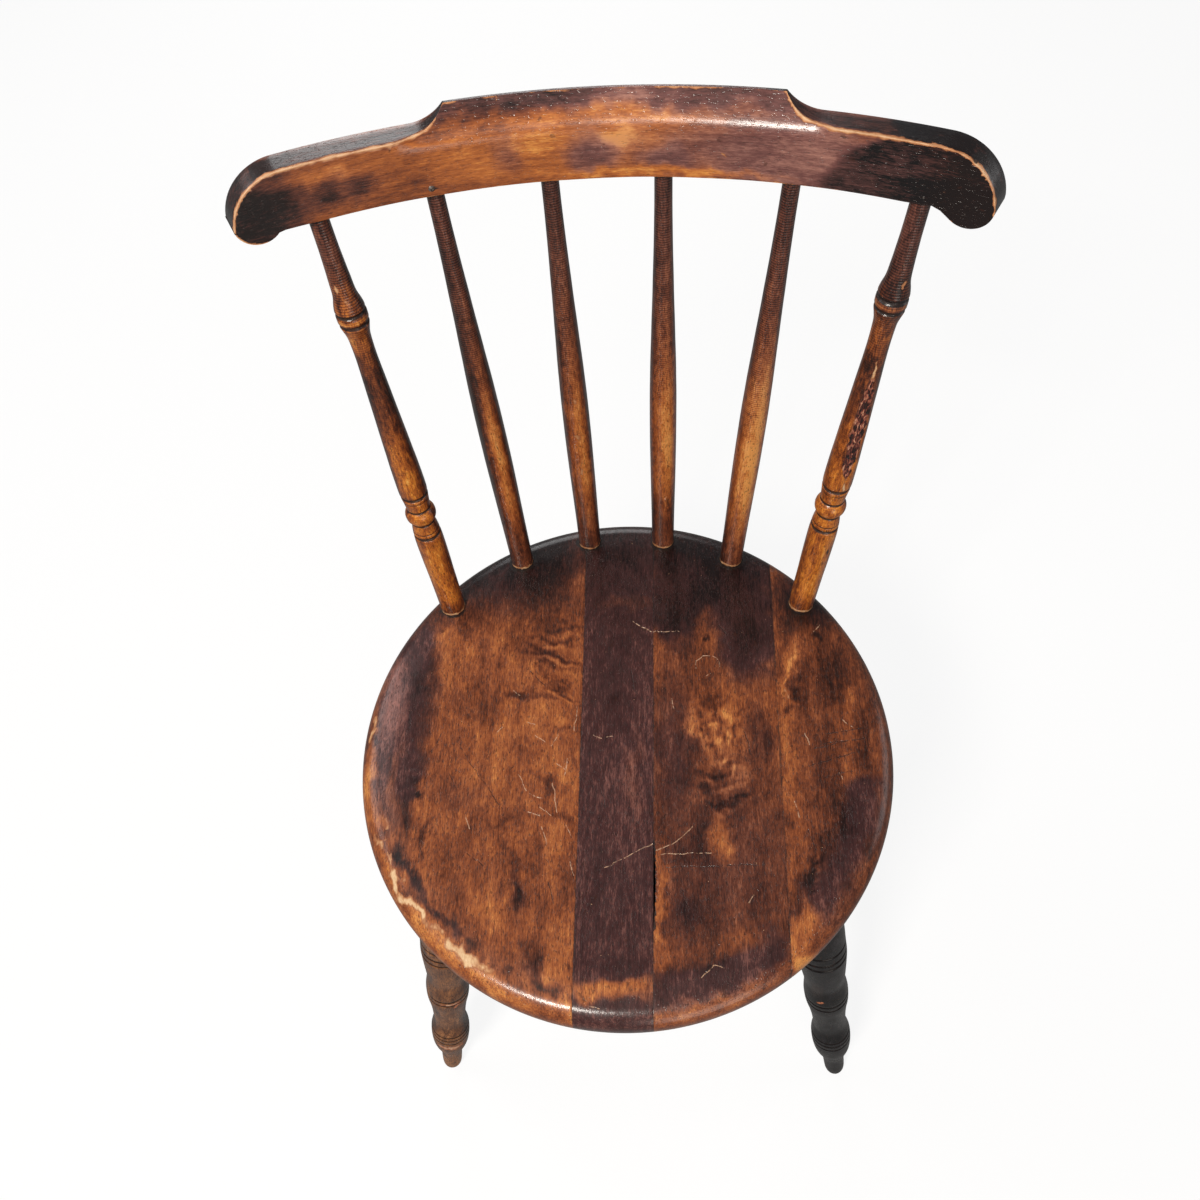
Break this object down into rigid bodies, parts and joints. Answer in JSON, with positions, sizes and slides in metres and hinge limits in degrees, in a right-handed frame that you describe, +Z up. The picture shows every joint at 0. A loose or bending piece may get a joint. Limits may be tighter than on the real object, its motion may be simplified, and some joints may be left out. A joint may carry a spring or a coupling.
{
  "type": "round-seat kitchen chair",
  "caption": "Old round-seat wooden kitchen chair with turned legs and posts, plain back sticks and a bent crest rail, its stained varnish worn through at rims and edges.",
  "frame": {"origin": "on the floor, under the middle of the chair's outer box", "axes": "+Z up, +X to the chair's right as seen from the front, +Y from the front edge of the seat towards the back"},
  "size_m": [0.3985, 0.4068, 0.8236],
  "materials": {
    "seat_board_brown": "stained and varnished, worn",
    "seat_board_plum": "dark stained and varnished, worn",
    "seat_board_flame": "stained and varnished, worn",
    "seat_board_gold": "stained and varnished, worn",
    "turned_spindle": "stained and varnished, worn",
    "bent_rail": "stained and varnished, worn arrises",
    "turned_leg": "dark stained and varnished, worn rings",
    "turned_stretcher": "stained and varnished",
    "steel_pin": "dull"
  },
  "bodies": {
    "root": {"seat_board_left": "seat_board_brown", "seat_board_dark": "seat_board_plum", "seat_board_middle": "seat_board_flame", "seat_board_right": "seat_board_gold", "back_post_left": "turned_spindle", "back_post_right": "turned_spindle", "back_stick_1": "turned_spindle", "back_stick_2": "turned_spindle", "back_stick_3": "turned_spindle", "back_stick_4": "turned_spindle", "crest_rail": "bent_rail", "rail_pin_left": "steel_pin", "rail_pin_right": "steel_pin", "front_leg_left": "turned_leg", "front_leg_right": "turned_leg", "back_leg_left": "turned_leg", "back_leg_right": "turned_leg", "side_stretcher_left": "turned_stretcher", "side_stretcher_right": "turned_stretcher", "cross_stretcher_front": "turned_stretcher", "cross_stretcher_back": "turned_stretcher"}
  },
  "joints": []
}
